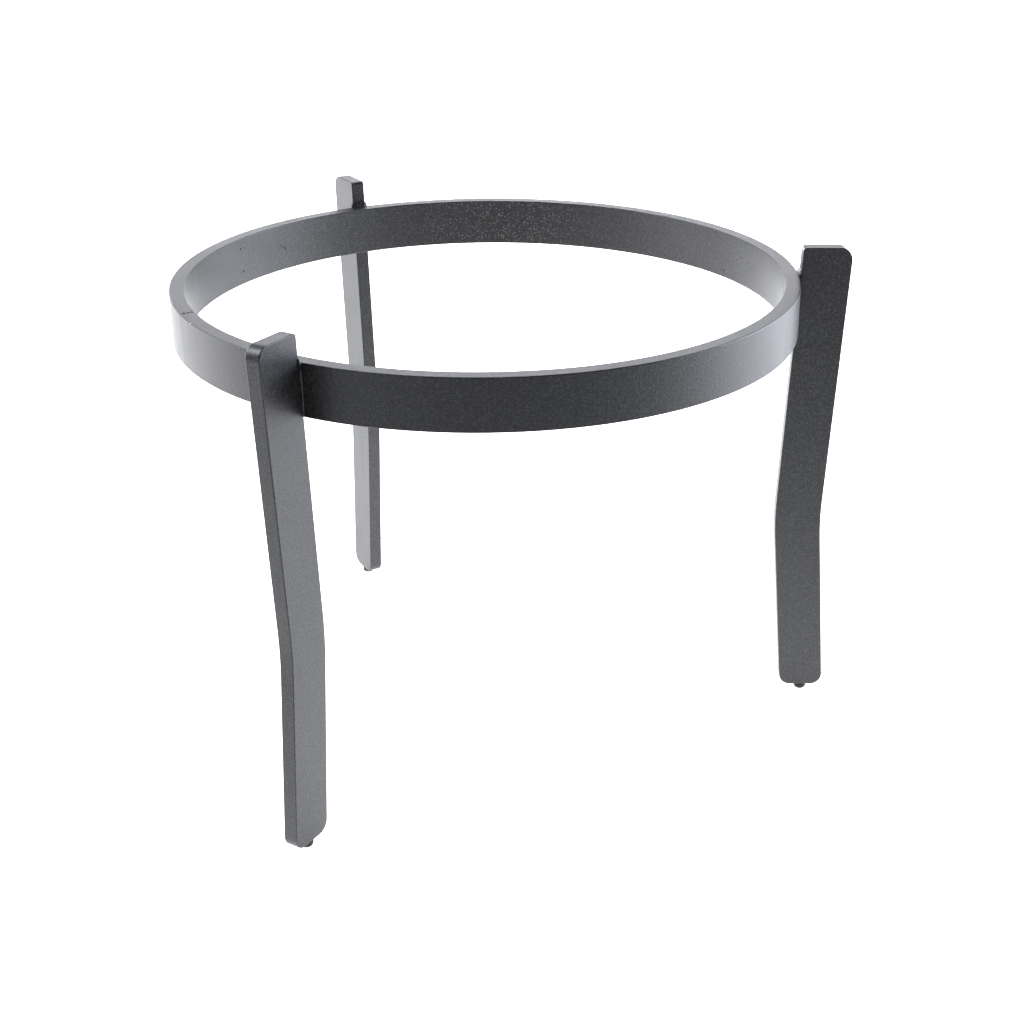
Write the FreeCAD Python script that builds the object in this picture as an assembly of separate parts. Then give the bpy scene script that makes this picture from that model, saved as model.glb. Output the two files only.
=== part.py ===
"""Welded steel stand for a propane burner: a flat-bar ring carried on three cranked legs.

Millimetres, +Z up. The floor is z = 0, the ring's axis is the Z axis, and the right leg points
along +X. Each leg is drawn in its own XZ plane, with X running outwards, and then turned about
the ring's axis to its place.
"""
import FreeCAD, Part
import math
import os
from FreeCAD import Vector

# Ring: flat bar rolled the easy way, so the bar's width is the ring's height.
ring_outer_radius = 125.0
ring_height = 20.0
ring_top = 192.0
bar_thickness = 6.0
bar_edge_radius = 0.4

# Seam where the two ends of the rolled bar are welded together.
seam_azimuth = 206.2
seam_width = 1.6
seam_groove_depth = 0.3

# Legs: edge-on to the ring, leaning in from the ear down to the crank and out again below it.
leg_azimuths = {"right_leg": 0.0, "back_leg": 120.0, "front_leg": 240.0}
ear_height = 11.0
crank_height = 84.0
leg_width_at_top = 20.2
leg_width_at_crank = 19.5
leg_width_at_foot = 18.9
lean_above_crank = 0.045
lean_below_crank = 0.081
crank_radius = 145.0
ear_inner_corner_radius = 1.5
ear_outer_corner_radius = 5.0
foot_corner_radius = 5.0
touch_depth = 0.12

# Feet: black domed plugs pushed into a blind hole in the bottom edge of each leg.
foot_height = 3.0
foot_diameter = 5.6
foot_flat_diameter = 2.0
foot_wall_start = 1.6
foot_collar_diameter = 4.2
foot_collar_height = 0.4
stem_diameter = 3.0
stem_length = 7.5
stem_tip_chamfer = 0.5
stem_hole_depth = 8.0

# Welds: a concave fillet down each broad face of the leg, and a bead over the top of the ring.
side_weld_size = 1.0
side_weld_end_size = 0.5
side_weld_taper = 2.0
weld_root_depth = 1.0
weld_throat = 0.36
top_weld_reach = 1.1
top_weld_rise = 2.2
top_weld_end_share = 0.45
top_weld_overhang = 0.9
top_weld_depth = 2.6

ring_inner_radius = ring_outer_radius - bar_thickness
ring_bottom = ring_top - ring_height
ear_top = ring_top + ear_height
leg_bottom = foot_height
half_thickness = bar_thickness / 2.0
up = Vector(0, 0, 1)


def leg_inner_edge(height):
    """Radius of the leg's straight inner edge above the crank, which bites at the ring's foot."""
    return ring_outer_radius - touch_depth + (height - ring_bottom) * lean_above_crank


crank_inner = leg_inner_edge(crank_height)
bottom_inner = crank_inner + (crank_height - leg_bottom) * lean_below_crank
foot_axis = bottom_inner + leg_width_at_foot / 2.0


def rounded_outline(corners):
    """Closed wire in the XZ plane through corners (x, z, radius), each rounded to its radius."""
    points = [Vector(x, 0, z) for x, z, radius in corners]
    arcs = []
    for index, here in enumerate(points):
        radius = corners[index][2]
        to_last = (points[index - 1] - here).normalize()
        to_next = (points[(index + 1) % len(points)] - here).normalize()
        half_angle = to_last.getAngle(to_next) / 2.0
        reach = radius / math.tan(half_angle)
        depth = radius / math.sin(half_angle) - radius
        middle = here + (to_last + to_next).normalize() * depth
        arcs.append((here + to_last * reach, middle, here + to_next * reach))
    edges = []
    for index, (start, middle, end) in enumerate(arcs):
        edges.append(Part.Arc(start, middle, end).toShape())
        next_start = arcs[(index + 1) % len(arcs)][0]
        edges.append(Part.LineSegment(end, next_start).toShape())
    return Part.Wire(edges)


def outline_with_hollow(points, hollow_from, hollow_middle):
    """Closed wire through points; the side that starts at hollow_from is an arc, not a line."""
    edges = []
    for index, start in enumerate(points):
        end = points[(index + 1) % len(points)]
        if index == hollow_from:
            edges.append(Part.Arc(start, hollow_middle, end).toShape())
        else:
            edges.append(Part.LineSegment(start, end).toShape())
    return Part.Wire(edges)


def turned(shape, azimuth):
    """A copy of the shape turned about the ring's axis."""
    copy = shape.copy()
    copy.rotate(Vector(0, 0, 0), up, azimuth)
    return copy


def mirrored_across_leg(shape):
    """A copy of the shape on the leg's other broad face."""
    return shape.mirror(Vector(0, 0, 0), Vector(0, 1, 0))


def bar_section(top_groove):
    """The ring's section: the flat bar with its rolled edges, its top lowered by a groove."""
    top = ring_top - top_groove
    return Part.Face(rounded_outline([
        (ring_inner_radius, ring_bottom, bar_edge_radius),
        (ring_outer_radius, ring_bottom, bar_edge_radius),
        (ring_outer_radius, top, bar_edge_radius),
        (ring_inner_radius, top, bar_edge_radius),
    ]))


def ring_arc(section, start_azimuth, sweep):
    """The section swept round the ring's axis through an angle."""
    return turned(section.revolve(Vector(0, 0, 0), up, sweep), start_azimuth)


def make_ring_and_seam():
    """The open ring and the thin weld that closes it, which meet face to face."""
    seam_sweep = math.degrees(seam_width / (ring_outer_radius - half_thickness))
    seam_start = seam_azimuth - seam_sweep / 2.0
    ring = ring_arc(bar_section(0.0), seam_start + seam_sweep, 360.0 - seam_sweep)
    seam = ring_arc(bar_section(seam_groove_depth), seam_start, seam_sweep)
    return ring, seam


def make_leg():
    """One cranked leg on +X: bar with eased edges, fitted to the ring, drilled for its foot."""
    outline = rounded_outline([
        (leg_inner_edge(ear_top), ear_top, ear_inner_corner_radius),
        (crank_inner, crank_height, crank_radius),
        (bottom_inner, leg_bottom, foot_corner_radius),
        (bottom_inner + leg_width_at_foot, leg_bottom, foot_corner_radius),
        (crank_inner + leg_width_at_crank, crank_height, crank_radius),
        (leg_inner_edge(ear_top) + leg_width_at_top, ear_top, ear_outer_corner_radius),
    ])
    plate = Part.Face(outline).extrude(Vector(0, bar_thickness, 0))
    plate.translate(Vector(0, -half_thickness, 0))
    face_edges = [
        edge for edge in plate.Edges
        if edge.BoundBox.YLength < bar_edge_radius / 10.0
    ]
    plate = plate.makeFillet(bar_edge_radius, face_edges)
    ring_envelope = Part.makeCylinder(ring_outer_radius, ring_height, Vector(0, 0, ring_bottom))
    hole = Part.makeCylinder(
        stem_diameter / 2.0, stem_hole_depth, Vector(foot_axis, 0, leg_bottom))
    return plate.cut(ring_envelope).cut(hole)


def make_foot():
    """A domed foot with a narrow collar under the leg and a stem up its hole."""
    radius = foot_diameter / 2.0
    flat = foot_flat_diameter / 2.0
    collar = foot_collar_diameter / 2.0
    stem = stem_diameter / 2.0
    collar_bottom = foot_height - foot_collar_height
    stem_top = foot_height + stem_length
    dome_middle = Vector(flat + (radius - flat) * 0.72, 0, foot_wall_start * 0.3)
    outline = [
        Vector(0, 0, 0),
        Vector(flat, 0, 0),
        Vector(radius, 0, foot_wall_start),
        Vector(radius, 0, collar_bottom),
        Vector(collar, 0, collar_bottom),
        Vector(collar, 0, foot_height),
        Vector(stem, 0, foot_height),
        Vector(stem, 0, stem_top - stem_tip_chamfer),
        Vector(stem - stem_tip_chamfer, 0, stem_top),
        Vector(0, 0, stem_top),
    ]
    face = Part.Face(outline_with_hollow(outline, 1, dome_middle))
    foot = face.revolve(Vector(0, 0, 0), up, 360.0)
    foot.translate(Vector(foot_axis, 0, 0))
    return foot


def side_weld_section(height, size):
    """Plan section of the fillet between the leg's +Y face and the ring, with its root."""
    corner = Vector(math.sqrt(ring_outer_radius ** 2 - half_thickness ** 2), half_thickness, height)
    on_leg = corner + Vector(size, 0, 0)
    ring_angle = math.asin(half_thickness / ring_outer_radius) + size / ring_outer_radius
    on_ring = Vector(
        ring_outer_radius * math.cos(ring_angle), ring_outer_radius * math.sin(ring_angle), height)
    throat = corner + Vector(size * weld_throat, size * weld_throat, 0)
    inwards = Vector(-weld_root_depth, 0, 0)
    sideways = Vector(0, -weld_root_depth, 0)
    return outline_with_hollow(
        [on_leg, on_ring, on_ring + inwards, corner + inwards + sideways, on_leg + sideways],
        0, throat)


def make_side_weld(ring, leg):
    """Fillet weld down the leg's +Y face, tapering away at both ends."""
    low = ring_bottom + bar_edge_radius
    high = ring_top - top_weld_depth
    sections = [
        side_weld_section(low, side_weld_end_size),
        side_weld_section(low + side_weld_taper, side_weld_size),
        side_weld_section(high - side_weld_taper, side_weld_size),
        side_weld_section(high, side_weld_end_size),
    ]
    return Part.makeLoft(sections, True, True).cut(leg).cut(ring)


def top_weld_section(across, share):
    """Upright section of the bead from the ring's eased edge up the leg's inner edge."""
    reach = top_weld_reach * share
    rise = top_weld_rise * share
    root = ring_top - top_weld_depth
    on_ring = Vector(leg_inner_edge(ring_top) - reach, across, ring_top)
    on_leg = Vector(leg_inner_edge(ring_top + rise), across, ring_top + rise)
    corner = Vector(leg_inner_edge(ring_top), across, ring_top)
    throat = corner + Vector(-reach * weld_throat, 0, rise * weld_throat)
    outwards = Vector(weld_root_depth, 0, 0)
    return outline_with_hollow([
        on_ring,
        on_leg,
        on_leg + outwards,
        Vector(leg_inner_edge(root), across, root) + outwards,
        Vector(ring_outer_radius, across, root) - outwards,
        on_ring - up * weld_root_depth,
    ], 0, throat)


def make_top_weld(ring, leg):
    """Bead on the ring's eased top edge, clear of its flat, filling the gap behind the leg."""
    end = half_thickness + top_weld_overhang
    full = half_thickness - top_weld_overhang
    sections = [
        top_weld_section(-end, top_weld_end_share),
        top_weld_section(-full, 1.0),
        top_weld_section(full, 1.0),
        top_weld_section(end, top_weld_end_share),
    ]
    return Part.makeLoft(sections, True, True).cut(leg).cut(ring)


def main():
    ring, seam = make_ring_and_seam()
    whole_ring = ring_arc(bar_section(0.0), 0.0, 360.0)
    leg = make_leg()
    side_weld = make_side_weld(whole_ring, leg)
    pieces = {
        "": leg,
        "_foot": make_foot(),
        "_weld_left": mirrored_across_leg(side_weld),
        "_weld_right": side_weld,
        "_weld_top": make_top_weld(whole_ring, leg),
    }
    nodes = {"support_ring": ring, "ring_seam_weld": seam}
    for leg_name, azimuth in leg_azimuths.items():
        for suffix, piece in pieces.items():
            nodes[leg_name + suffix] = turned(piece, azimuth)

    os.makedirs("parts", exist_ok=True)
    for name, shape in nodes.items():
        shape.exportStep("parts/" + name + ".step")
        print(name, shape.isValid(), len(shape.Solids), round(shape.Volume, 2))


main()
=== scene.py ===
"""Looks of a welded burner stand: satin dark grey powder coat on flat steel bar, in a white studio."""
import math
import random

import bmesh
import bpy
from mathutils import Matrix, Vector


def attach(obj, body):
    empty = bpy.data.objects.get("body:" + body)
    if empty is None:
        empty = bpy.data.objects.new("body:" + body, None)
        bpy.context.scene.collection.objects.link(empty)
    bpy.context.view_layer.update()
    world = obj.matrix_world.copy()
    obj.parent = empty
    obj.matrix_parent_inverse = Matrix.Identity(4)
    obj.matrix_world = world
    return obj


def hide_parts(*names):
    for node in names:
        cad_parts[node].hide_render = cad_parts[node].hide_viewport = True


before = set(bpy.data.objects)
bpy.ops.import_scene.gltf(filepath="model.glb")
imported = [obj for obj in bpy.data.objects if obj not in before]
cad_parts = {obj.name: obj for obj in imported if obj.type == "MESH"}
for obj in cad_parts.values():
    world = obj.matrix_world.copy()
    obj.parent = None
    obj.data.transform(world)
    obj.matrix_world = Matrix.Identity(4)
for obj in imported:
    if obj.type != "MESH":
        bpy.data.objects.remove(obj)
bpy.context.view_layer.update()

MM = 0.001

# The stand's driving sizes, in millimetres and degrees, the same as the CAD's.
RING_OUTER = 125.0
RING_INNER = 119.0
RING_TOP = 192.0
RING_BOTTOM = 172.0
BAR_EDGE = 0.4
HALF_BAR = 3.0
TOUCH_DEPTH = 0.12
LEAN_ABOVE_CRANK = 0.045
SEAM_AZIMUTH = 206.2
SEAM_WIDTH = 1.6
LEG_AZIMUTHS = {"right_leg": 0.0, "back_leg": 120.0, "front_leg": 240.0}

# Side fillets: leg length, length of the tapered ends, gap below the ring's top, root inside the
# bar, spacing of ripples.
FILLET = 0.3
FILLET_TAPER = 2.0
FILLET_STOP = 2.6
FILLET_ROOT = Vector((-0.12, -1.0, 0.0))
FILLET_RIPPLE = 1.1

# Top beads: reach along the ring, rise up the leg, half width in all and at full size, root's depth,
# spacing of ripples.
BEAD_REACH = 1.1
BEAD_RISE = 2.1
BEAD_HALF_WIDTH = 3.8
BEAD_FULL_HALF_WIDTH = 2.0
BEAD_ROOT = 1.6
BEAD_RIPPLE = 1.6

# One turn in radians, near enough for the phase of a ripple.
RIPPLE_TURN = 6.28

# Edges of the welds that turn by more than this many degrees are sharp.
SHARP_ANGLE = 50.0

# Open cracks in the seam's top: start and end from the ring's outer face, and shift along the ring.
CRACKS = ((1.0, 2.3, 0.0), (2.8, 3.9, 0.1), (4.3, 5.4, -0.2))
CRACK_DEPTH = 1.1
CRACK_WIDTH = 1.1
CRACK_SLANT = 0.12
CRACK_END_SLOPE = 0.15
CRACK_SIDE_SLOPE = 0.1

# Marks in the ring's coat: small pits in its inner face (azimuth, height and radius) with painted shade
# in them, one painted glint (a light spot standing in for a highlight) on its outer top edge (distance
# from the axis, azimuth and height), and the middle of the coarse sparkle, whose lighter specks are
# partly painted sparkle.
PITS = ((155.0, 187.8, 0.55), (153.6, 187.6, 0.38), (154.6, 177.7, 0.55), (155.3, 177.0, 0.38),
        (142.4, 183.0, 0.38), (141.7, 182.3, 0.42), (141.1, 181.5, 0.55), (31.3, 175.4, 0.55),
        (25.8, 186.6, 0.4), (24.9, 184.1, 0.5), (22.3, 183.6, 0.5), (23.0, 179.0, 0.45),
        (20.8, 181.8, 0.45), (18.7, 183.9, 0.4))
# Painted glint: a near-white spot in the coat's colour that stands in for a highlight on the edge.
PAINTED_GLINT_PLACE = (124.85, 212.0, 191.9)
PAINTED_GLINT_RADIUS = 0.35
PAINTED_SPARKLE_AZIMUTH = 89.0
PAINTED_SPARKLE_HEIGHT = 182.0

# Heights between which the legs' coat is scuffed, and how far the scuffs fade in and out.
SCUFF_BAND = (4.0, 75.0)
SCUFF_FADE_IN = 8.0
SCUFF_FADE_OUT = 20.0

# Height of the orange peel on the bars and on the welds.
BAR_PEEL = 0.008
WELD_PEEL = 0.02

# Camera, in metres and degrees: heading is to the right of +Y, and pitch is below level.
CAMERA_PLACE = (0.02585, -0.64661, 0.37865)
CAMERA_HEADING = 1.05
CAMERA_PITCH = 24.32
CAMERA_ROLL = 0.35
CAMERA_LENS = 58.27
CAMERA_SHIFT = -0.0664

WORLD_COLOUR = (1.0, 0.99, 0.98, 1.0)
WORLD_STRENGTH = 0.21

FLOOR_HALF_SIZE = 12.0
FLOOR_COLOUR = (0.75, 0.75, 0.75, 1.0)


def polar(radius, azimuth, height):
    """A point at a radius and azimuth about the ring's axis, in metres."""
    angle = math.radians(azimuth)
    return Vector((radius * math.cos(angle), radius * math.sin(angle), height)) * MM


# ---------------------------------------------------------------- node helpers

def node_tree(owner):
    """The emptied node tree of a material or world."""
    owner.use_nodes = True
    owner.node_tree.nodes.clear()
    return owner.node_tree


def add(tree, kind, settings=None, **inputs):
    """A node with attributes from settings and input values from the keywords."""
    node = tree.nodes.new(kind)
    for name, value in (settings or {}).items():
        setattr(node, name, value)
    for name, value in inputs.items():
        numbered = name[0] == "i" and name[1:].isdigit()
        socket = node.inputs[int(name[1:])] if numbered else node.inputs[name.replace("_", " ")]
        if isinstance(value, bpy.types.NodeSocket):
            tree.links.new(value, socket)
        else:
            socket.default_value = value
    return node


def calculate(tree, operation, a, b=0.0):
    """One sum on two numbers or sockets."""
    return add(tree, "ShaderNodeMath", {"operation": operation}, i0=a, i1=b).outputs[0]


def plus(tree, a, b):
    """The two added."""
    return calculate(tree, "ADD", a, b)


def times(tree, a, b):
    """The two multiplied."""
    return calculate(tree, "MULTIPLY", a, b)


def ramp(tree, value, low, high, out_low=0.0, out_high=1.0):
    """The value taken smoothly from one range to another."""
    return add(tree, "ShaderNodeMapRange", {"interpolation_type": "SMOOTHSTEP"}, Value=value,
               From_Min=low, From_Max=high, To_Min=out_low, To_Max=out_high).outputs[0]


def mix_colour(tree, factor, a, b):
    """Colour a where the factor is 0 and colour b where it is 1."""
    return add(tree, "ShaderNodeMix", {"data_type": "RGBA"}, i0=factor, i6=a, i7=b).outputs[2]


def noise(tree, place, scale, detail=2.0, roughness=0.5):
    """Cloudy noise between 0 and 1, of a scale in features per metre."""
    return add(tree, "ShaderNodeTexNoise", None, Vector=place, Scale=scale, Detail=detail,
               Roughness=roughness).outputs["Fac"]


def place_of(tree):
    """Where a point is in the model, in metres."""
    return tree.nodes.new("ShaderNodeTexCoord").outputs["Object"]


def stretched(tree, place, scale):
    """The place scaled along each axis, so that a pattern on it is drawn out."""
    return add(tree, "ShaderNodeMapping", None, Vector=place, Scale=scale).outputs[0]


def near(tree, place, point, inner, outer):
    """1 inside a ball about the point, falling to 0 at its outer radius."""
    gap = add(tree, "ShaderNodeVectorMath", {"operation": "DISTANCE"}, i0=place, i1=point)
    return ramp(tree, gap.outputs["Value"], inner, outer, 1.0, 0.0)


def flakes(tree, place, scale, share):
    """Sparse small round specks, one in some of the cells of a scattered grid."""
    cells = add(tree, "ShaderNodeTexVoronoi", None, Vector=place, Scale=scale, Randomness=1.0)
    lot = add(tree, "ShaderNodeSeparateColor", None, Color=cells.outputs["Color"]).outputs[0]
    chosen = ramp(tree, lot, 1.0 - share, 1.0 - 0.5 * share)
    return times(tree, chosen, ramp(tree, cells.outputs["Distance"], 0.2, 0.5, 1.0, 0.0))


def material_output(tree, shader):
    """Join the shader to the material's output."""
    output = tree.nodes.new("ShaderNodeOutputMaterial")
    tree.links.new(shader.outputs[0], output.inputs[0])


# ---------------------------------------------------------------- materials

class Coat:
    """The layers of one powder coat: its tone, metal share, roughness and relief in millimetres."""

    def __init__(self, tree, ripple):
        """Orange peel of a height of ripple, with a grain of light and dark specks."""
        self.tree = tree
        self.place = place_of(tree)
        grain = noise(tree, self.place, 1500.0, 2.0, 0.6)
        peel = noise(tree, self.place, 480.0, 2.0, 0.5)
        cloud = noise(tree, self.place, 30.0, 3.0, 0.55)
        wipe = noise(tree, stretched(tree, self.place, (1.0, 1.0, 0.18)), 120.0, 2.0)
        flake = flakes(tree, self.place, 1500.0, 0.12)

        self.tone = mix_colour(tree, ramp(tree, grain, 0.42, 0.66),
                               (0.001, 0.001, 0.001, 1.0), (0.0245, 0.025, 0.0265, 1.0))
        self.tint(times(tree, flake, 0.45), (0.11, 0.112, 0.116, 1.0))
        self.metal = times(tree, flake, 0.2)
        self.rough = plus(tree, ramp(tree, cloud, 0.3, 0.7, 0.375, 0.41),
                          ramp(tree, wipe, 0.55, 0.8, 0.0, 0.04))
        self.rough = plus(tree, self.rough, ramp(tree, grain, 0.3, 0.7, -0.04, 0.04))
        self.relief = plus(tree, times(tree, grain, 0.055), times(tree, peel, ripple))

    def tint(self, factor, colour):
        """Take the tone towards a colour."""
        self.tone = mix_colour(self.tree, factor, self.tone, colour)

    def add_flakes_and_painted_sparkle(self, middle):
        """Coarse metal flakes about a point, painted lighter in this patch only as painted sparkle."""
        # painted sparkle: the lighter tone is confined to this patch, standing in for flakes catching the
        # light; the added metal is the coat's own flake
        patch = near(self.tree, self.place, middle, 0.01, 0.055)
        bright = times(self.tree, flakes(self.tree, self.place, 1300.0, 0.4), patch)
        self.tint(bright, (0.15, 0.138, 0.132, 1.0))
        self.metal = plus(self.tree, self.metal, times(self.tree, bright, 0.3))

    def add_scuffs(self, low, high):
        """Rubbed, lighter patches between two heights."""
        tree = self.tree
        level = add(tree, "ShaderNodeSeparateXYZ", None, Vector=self.place).outputs[2]
        band = times(tree, ramp(tree, level, low * MM, (low + SCUFF_FADE_IN) * MM),
                     ramp(tree, level, (high - SCUFF_FADE_OUT) * MM, high * MM, 1.0, 0.0))
        streaks = noise(tree, stretched(tree, self.place, (1.0, 1.0, 0.3)), 520.0, 3.0, 0.65)
        rubbed = times(tree, ramp(tree, streaks, 0.6, 0.72), band)
        self.tint(times(tree, rubbed, 0.25), (0.10, 0.10, 0.105, 1.0))
        self.rough = plus(tree, self.rough, times(tree, rubbed, 0.1))

    def add_pit(self, middle, radius):
        """A small dent in the coat, drawn by the bump, with its hollow painted black as painted shade."""
        pit = near(self.tree, self.place, middle, 0.5 * radius * MM, radius * MM)
        # painted shade: the dent's hollow is painted black, and made fully metallic so that it reflects
        # nothing
        self.tint(pit, (0.0, 0.0, 0.0, 1.0))
        self.metal = calculate(self.tree, "MAXIMUM", self.metal, pit)
        self.relief = calculate(self.tree, "SUBTRACT", self.relief, times(self.tree, pit, 0.2))

    def add_painted_glint(self, middle, radius):
        """A small light spot: a painted glint, a highlight painted into the colour."""
        glint_spot = near(self.tree, self.place, middle, 0.4 * radius * MM, radius * MM)
        self.tint(glint_spot, (0.75, 0.77, 0.80, 1.0))

    def finish(self):
        """Join the layers to the shader and the output."""
        bump = add(self.tree, "ShaderNodeBump", None, Strength=1.0, Distance=MM, Height=self.relief)
        shader = add(self.tree, "ShaderNodeBsdfPrincipled", None, Base_Color=self.tone,
                     Roughness=self.rough, Normal=bump.outputs[0], Metallic=self.metal, IOR=1.5)
        material_output(self.tree, shader)


def leg_material():
    """The legs' coat, scuffed low down."""
    material = bpy.data.materials.new("leg_coat")
    coat = Coat(node_tree(material), BAR_PEEL)
    coat.add_scuffs(*SCUFF_BAND)
    coat.finish()
    return material


def ring_material():
    """The ring's coat, with flakes painted lighter at the back as painted sparkle, pits inside with
    painted shade in them, and a painted glint on its edge.
    """
    material = bpy.data.materials.new("ring_coat")
    coat = Coat(node_tree(material), BAR_PEEL)
    # flakes with painted sparkle: lighter specks painted in one patch at the back of the ring's inner
    # face
    coat.add_flakes_and_painted_sparkle(polar(RING_INNER, PAINTED_SPARKLE_AZIMUTH, PAINTED_SPARKLE_HEIGHT))
    for azimuth, height, radius in PITS:
        coat.add_pit(polar(RING_INNER, azimuth, height), radius)
    # painted glint: a near-white spot standing in for a highlight on the ring's outer top edge
    coat.add_painted_glint(polar(*PAINTED_GLINT_PLACE), PAINTED_GLINT_RADIUS)
    coat.finish()
    return material


def weld_material():
    """The same coat over the welds, with more orange peel."""
    material = bpy.data.materials.new("weld_coat")
    Coat(node_tree(material), WELD_PEEL).finish()
    return material


def plug_material():
    """Black moulded rubber-like plastic with a soft gloss and a trace of dust."""
    material = bpy.data.materials.new("foot_plug")
    tree = node_tree(material)
    place = place_of(tree)
    dust = ramp(tree, noise(tree, place, 700.0, 3.0, 0.6), 0.5, 0.75)
    tone = mix_colour(tree, dust, (0.003, 0.003, 0.0025, 1.0), (0.022, 0.019, 0.017, 1.0))
    rough = ramp(tree, dust, 0.0, 1.0, 0.3, 0.5)
    relief = times(tree, noise(tree, place, 900.0, 2.0), 0.02)
    bump = add(tree, "ShaderNodeBump", None, Strength=1.0, Distance=MM, Height=relief)
    shader = add(tree, "ShaderNodeBsdfPrincipled", None, Base_Color=tone, Roughness=rough,
                 Normal=bump.outputs[0], IOR=1.35)
    material_output(tree, shader)
    return material


# ---------------------------------------------------------------- welds

def solid_from_rows(name, rows, azimuth):
    """A closed solid through rows of points in millimetres, turned about the ring's axis."""
    count = len(rows[0])
    points = [Vector(point) * MM for row in rows for point in row]
    faces = []
    for row in range(len(rows) - 1):
        for index in range(count):
            following = (index + 1) % count
            faces.append((row * count + index, row * count + following,
                          (row + 1) * count + following, (row + 1) * count + index))
    faces.append(tuple(range(count)))
    faces.append(tuple((len(rows) - 1) * count + index for index in range(count)))
    mesh = bpy.data.meshes.new(name)
    mesh.from_pydata(points, [], faces)
    mesh.transform(Matrix.Rotation(math.radians(azimuth), 4, "Z"))
    close_ends(mesh)
    mesh.polygons.foreach_set("use_smooth", [True] * len(mesh.polygons))
    mesh.set_sharp_from_angle(angle=math.radians(SHARP_ANGLE))
    piece = bpy.data.objects.new(name, mesh)
    bpy.context.scene.collection.objects.link(piece)
    return piece


def close_ends(mesh):
    """Cut the two end faces into triangles and turn every face outwards."""
    shape = bmesh.new()
    shape.from_mesh(mesh)
    caps = [face for face in shape.faces if len(face.verts) > 4]
    bmesh.ops.triangulate(shape, faces=caps)
    bmesh.ops.recalc_face_normals(shape, faces=shape.faces)
    shape.to_mesh(mesh)
    shape.free()


def curve_points(start, control, end, steps):
    """Points along a quadratic curve."""
    found = []
    for step in range(steps + 1):
        t = step / steps
        found.append(start * (1 - t) ** 2 + control * (2 * t * (1 - t)) + end * t ** 2)
    return found


def leg_inner_edge(height):
    """Radius of the leg's straight inner edge above the crank."""
    return RING_OUTER - TOUCH_DEPTH + (height - RING_BOTTOM) * LEAN_ABOVE_CRANK


def fillet_rows(side, dice, count=44):
    """Sections of the fillet down one broad face of a leg, with the ripples of the weld pool."""
    corner = Vector((math.sqrt(RING_OUTER ** 2 - HALF_BAR ** 2), HALF_BAR, 0.0))
    low, high = RING_BOTTOM + BAR_EDGE, RING_TOP - FILLET_STOP
    phase, drift = dice.uniform(0.0, RIPPLE_TURN), dice.uniform(0.0, RIPPLE_TURN)
    rows = []
    for row in range(count + 1):
        height = low + (high - low) * row / count
        end = min(1.0, min(height - low, high - height) / FILLET_TAPER)
        swell = 1.0 + 0.06 * math.sin(RIPPLE_TURN * height / FILLET_RIPPLE + phase)
        swell += 0.08 * math.sin(0.9 * height + drift)
        size = FILLET * (0.3 + 0.7 * math.sin(end * math.pi / 2)) * swell
        turn = math.asin(HALF_BAR / RING_OUTER) + size / RING_OUTER
        on_leg = corner + Vector((size, -0.03, 0.0))
        on_ring = Vector((math.cos(turn), math.sin(turn), 0.0)) * (RING_OUTER - 0.03)
        hollow = corner + Vector((0.3 * size, 0.3 * size, 0.0))
        section = curve_points(on_leg, hollow, on_ring, 7)
        section.append(corner + FILLET_ROOT)
        rows.append([(point.x, side * point.y, height) for point in section])
    return rows


def bead_rows(dice, count=40):
    """Upright sections of the bead over the ring's top edge, from one face of the leg to the other."""
    phase = dice.uniform(0.0, RIPPLE_TURN)
    fade = BEAD_HALF_WIDTH - BEAD_FULL_HALF_WIDTH + 0.1
    root = RING_TOP - BEAD_ROOT
    rows = []
    for row in range(count + 1):
        across = BEAD_HALF_WIDTH * (2.0 * row / count - 1.0)
        beyond = max(0.0, (abs(across) - BEAD_FULL_HALF_WIDTH) / fade)
        share = math.sqrt(1.0 - beyond ** 2)
        share *= 1.0 + 0.03 * math.sin(RIPPLE_TURN * across / BEAD_RIPPLE + phase)
        reach, rise = BEAD_REACH * share, BEAD_RISE * share
        corner = Vector((leg_inner_edge(RING_TOP), 0.0, RING_TOP))
        start = Vector((leg_inner_edge(RING_TOP) - reach, 0.0, RING_TOP - 0.02))
        end = Vector((leg_inner_edge(RING_TOP + rise) + 0.06, 0.0, RING_TOP + rise))
        control = corner + Vector((-0.62 * reach, 0.0, 0.55 * rise))
        section = curve_points(start, control, end, 9)
        section.append(end + Vector((0.5, 0.0, 0.0)))
        section.append(Vector((leg_inner_edge(root) + 0.5, 0.0, root)))
        section.append(Vector((RING_OUTER - 0.3, 0.0, root)))
        section.append(Vector((start.x, 0.0, RING_TOP - BEAD_ROOT / 2)))
        rows.append([(point.x, across, point.z) for point in section])
    return rows


def crack_depth(from_outer, across):
    """Depth of the cracks at a distance from the ring's outer face and from the seam's middle."""
    depth = 0.0
    for start, end, shift in CRACKS:
        along = min(from_outer - start, end - from_outer)
        offset = abs(across - shift - CRACK_SLANT * (from_outer - start))
        if along > 0.0 and offset < CRACK_WIDTH / 2:
            at_end = CRACK_DEPTH * min(1.0, along / CRACK_END_SLOPE)
            depth = max(depth, at_end * min(1.0, (CRACK_WIDTH / 2 - offset) / CRACK_SIDE_SLOPE))
    return depth


def eased_edge(face, outward, level, upward, steps=4):
    """Radius and height of points round one eased edge of the bar, from its side to its top or bottom."""
    points = []
    for step in range(steps + 1):
        angle = math.pi / 2 * step / steps
        points.append((face - outward * BAR_EDGE * (1 - math.cos(angle)),
                       level - upward * BAR_EDGE * (1 - math.sin(angle))))
    return points


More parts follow.
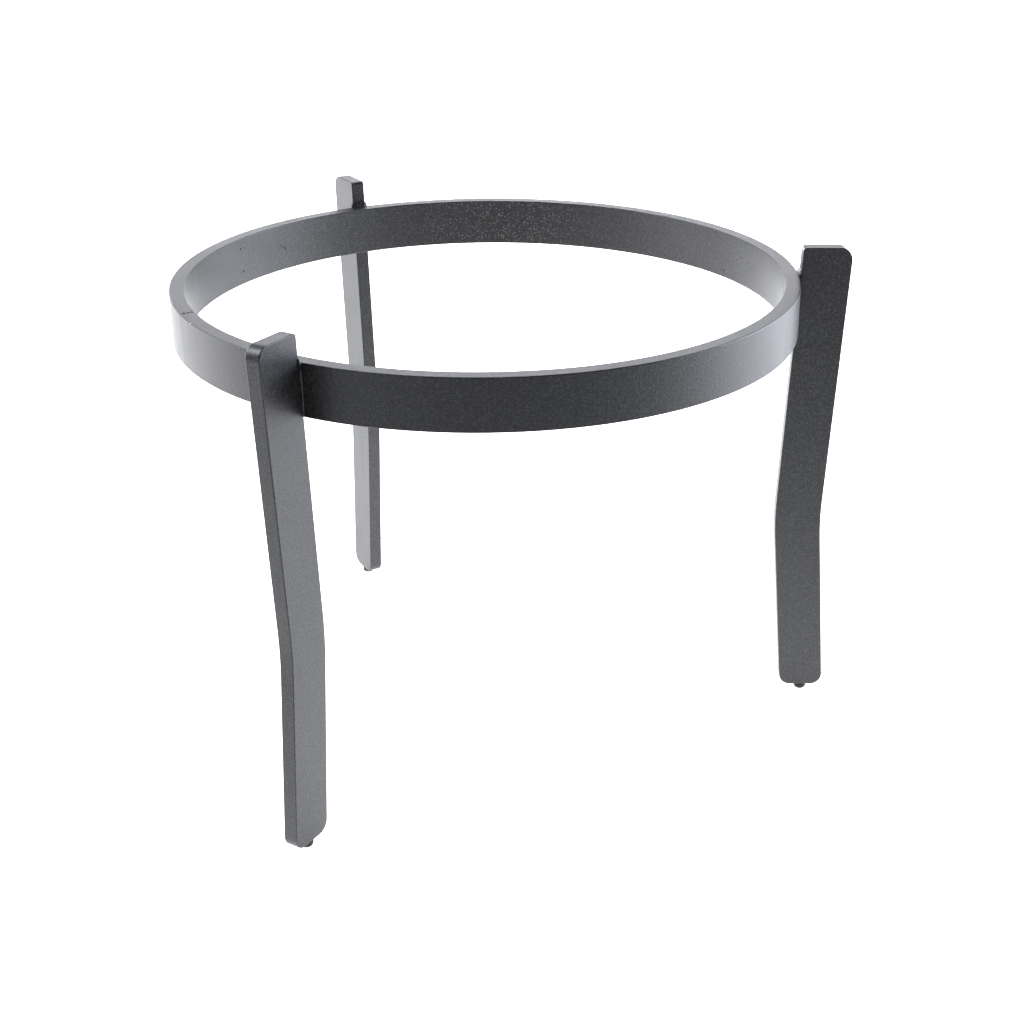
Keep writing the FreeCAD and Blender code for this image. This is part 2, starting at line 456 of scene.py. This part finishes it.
def seam_rows(count=27, steps=60):
    """Sections of the weld that closes the ring, from one side of the gap to the other."""
    below = eased_edge(RING_INNER, -1, RING_BOTTOM, -1)
    below += reversed(eased_edge(RING_OUTER, 1, RING_BOTTOM, -1))
    below += eased_edge(RING_OUTER, 1, RING_TOP, 1)
    inner_top = eased_edge(RING_INNER, -1, RING_TOP, 1)[::-1]
    flat = RING_OUTER - RING_INNER - 2 * BAR_EDGE
    rows = []
    for row in range(count + 1):
        across = SEAM_WIDTH * (row / count - 0.5)
        turn = across / (RING_OUTER - HALF_BAR)
        top = []
        for step in range(1, steps):
            radius = RING_OUTER - BAR_EDGE - flat * step / steps
            top.append((radius, RING_TOP - crack_depth(RING_OUTER - radius, across)))
        section = (below + top + inner_top)[::-1]
        rows.append([(radius * math.cos(turn), radius * math.sin(turn), height)
                     for radius, height in section])
    return rows


def dress_welds(finish):
    """The weld pieces, each standing for its CAD node."""
    dice = random.Random(7)
    shapes = [("ring_seam_weld", seam_rows(), SEAM_AZIMUTH)]
    for leg, azimuth in LEG_AZIMUTHS.items():
        shapes.append((leg + "_weld_left", fillet_rows(-1.0, dice), azimuth))
        shapes.append((leg + "_weld_right", fillet_rows(1.0, dice), azimuth))
        shapes.append((leg + "_weld_top", bead_rows(dice), azimuth))
    for node, rows, azimuth in shapes:
        piece = solid_from_rows(node + "_run", rows, azimuth)
        piece.data.materials.append(finish)
        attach(piece, "root")
        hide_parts(node)


# ---------------------------------------------------------------- studio

def make_camera():
    """The camera, from the front and above."""
    data = bpy.data.cameras.new("camera")
    camera = bpy.data.objects.new("camera", data)
    bpy.context.scene.collection.objects.link(camera)
    data.sensor_width = 36.0
    data.lens = CAMERA_LENS
    data.shift_x = CAMERA_SHIFT
    data.clip_start = 0.01
    data.clip_end = 100.0
    turn = Matrix.Rotation(-math.radians(CAMERA_HEADING), 4, "Z")
    tilt = Matrix.Rotation(math.pi / 2 - math.radians(CAMERA_PITCH), 4, "X")
    spin = Matrix.Rotation(math.radians(CAMERA_ROLL), 4, "Z")
    camera.matrix_world = Matrix.Translation(CAMERA_PLACE) @ turn @ tilt @ spin
    bpy.context.scene.camera = camera


def floor_glow(tree):
    """Light from the floor: bright under and behind the stand, and a little far away all round."""
    place = place_of(tree)
    axes = add(tree, "ShaderNodeSeparateXYZ", None, Vector=place).outputs
    x, y = axes[0], axes[1]
    glow = ramp(tree, y, 0.2, 0.5, 1.8, 1.2)
    fades = (ramp(tree, y, -0.37, -0.05), ramp(tree, y, 3.0, 5.0, 1.0, 0.0),
             ramp(tree, x, 1.4, 2.6, 1.0, 0.0), ramp(tree, x, -2.6, -1.4))
    for fade in fades:
        glow = times(tree, glow, fade)
    distance = add(tree, "ShaderNodeVectorMath", {"operation": "LENGTH"}, i0=place).outputs["Value"]
    return calculate(tree, "MAXIMUM", glow, ramp(tree, distance, 0.6, 2.0, 0.0, 0.38))


def make_floor():
    """A white floor lit from below under and behind the stand, and plain and pale everywhere else."""
    mesh = bpy.data.meshes.new("floor")
    far = FLOOR_HALF_SIZE
    mesh.from_pydata([(-far, -far, 0), (far, -far, 0), (far, far, 0), (-far, far, 0)], [], [(0, 1, 2, 3)])
    floor = bpy.data.objects.new("floor", mesh)
    bpy.context.scene.collection.objects.link(floor)
    material = bpy.data.materials.new("pale_floor")
    tree = node_tree(material)
    shader = add(tree, "ShaderNodeBsdfPrincipled", None, Base_Color=FLOOR_COLOUR, Roughness=0.9,
                 Emission_Color=(1.0, 1.0, 1.0, 1.0), Emission_Strength=floor_glow(tree))
    material_output(tree, shader)
    mesh.materials.append(material)


def make_softbox(name, place, target, width, height, radiance, colour):
    """A rectangular light that faces its target and can't be seen by the camera."""
    data = bpy.data.lights.new(name, "AREA")
    data.shape = "RECTANGLE"
    data.size = width
    data.size_y = height
    data.energy = radiance * math.pi * width * height
    data.color = colour
    light = bpy.data.objects.new(name, data)
    bpy.context.scene.collection.objects.link(light)
    aim = (Vector(target) - Vector(place)).to_track_quat("-Z", "Y").to_matrix().to_4x4()
    light.matrix_world = Matrix.Translation(place) @ aim
    light.visible_camera = False


def make_world():
    """A dim even backdrop, shown in plain colours."""
    world = bpy.data.worlds.new("studio")
    bpy.context.scene.world = world
    tree = node_tree(world)
    background = add(tree, "ShaderNodeBackground", None, Color=WORLD_COLOUR, Strength=WORLD_STRENGTH)
    output = tree.nodes.new("ShaderNodeOutputWorld")
    tree.links.new(background.outputs[0], output.inputs[0])
    bpy.context.scene.view_settings.view_transform = "Standard"


make_camera()
make_floor()
make_softbox("left_softbox", (-1.3, 0.35, 0.7), (0, 0.1, 0.1), 1.2, 1.0, 5.6, (0.97, 0.96, 1.0))
make_softbox("right_softbox", (1.3, 0.34, 0.38), (0, 0.1, 0.2), 0.95, 0.6, 20.0, (0.79, 0.845, 1.0))
make_softbox("ear_softbox", (-1.05, -0.05, 1.1), (-0.07, -0.12, 0.2), 0.5, 0.5, 16.0, (0.84, 0.9, 1.0))
make_softbox("back_softbox", (0, 1.5, 0.75), (0, 0, 0.1), 2.2, 1.2, 1.1, (0.92, 0.93, 1.0))
make_softbox("high_softbox", (0, 1.1, 1.35), (0, 0, 0.15), 1.0, 0.8, 5.8, (0.92, 0.94, 1.0))
make_softbox("back_strip", (0, 1.2, 0.15), (0, 0, 0.1), 2.4, 0.28, 13.0, (0.95, 0.96, 1.0))
make_world()

leg_coat = leg_material()
ring_coat = ring_material()
weld_coat = weld_material()
plug = plug_material()
for name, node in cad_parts.items():
    finish = plug if name.endswith("_foot") else ring_coat if name == "support_ring" else leg_coat
    node.data.materials.clear()
    node.data.materials.append(finish)
dress_welds(weld_coat)
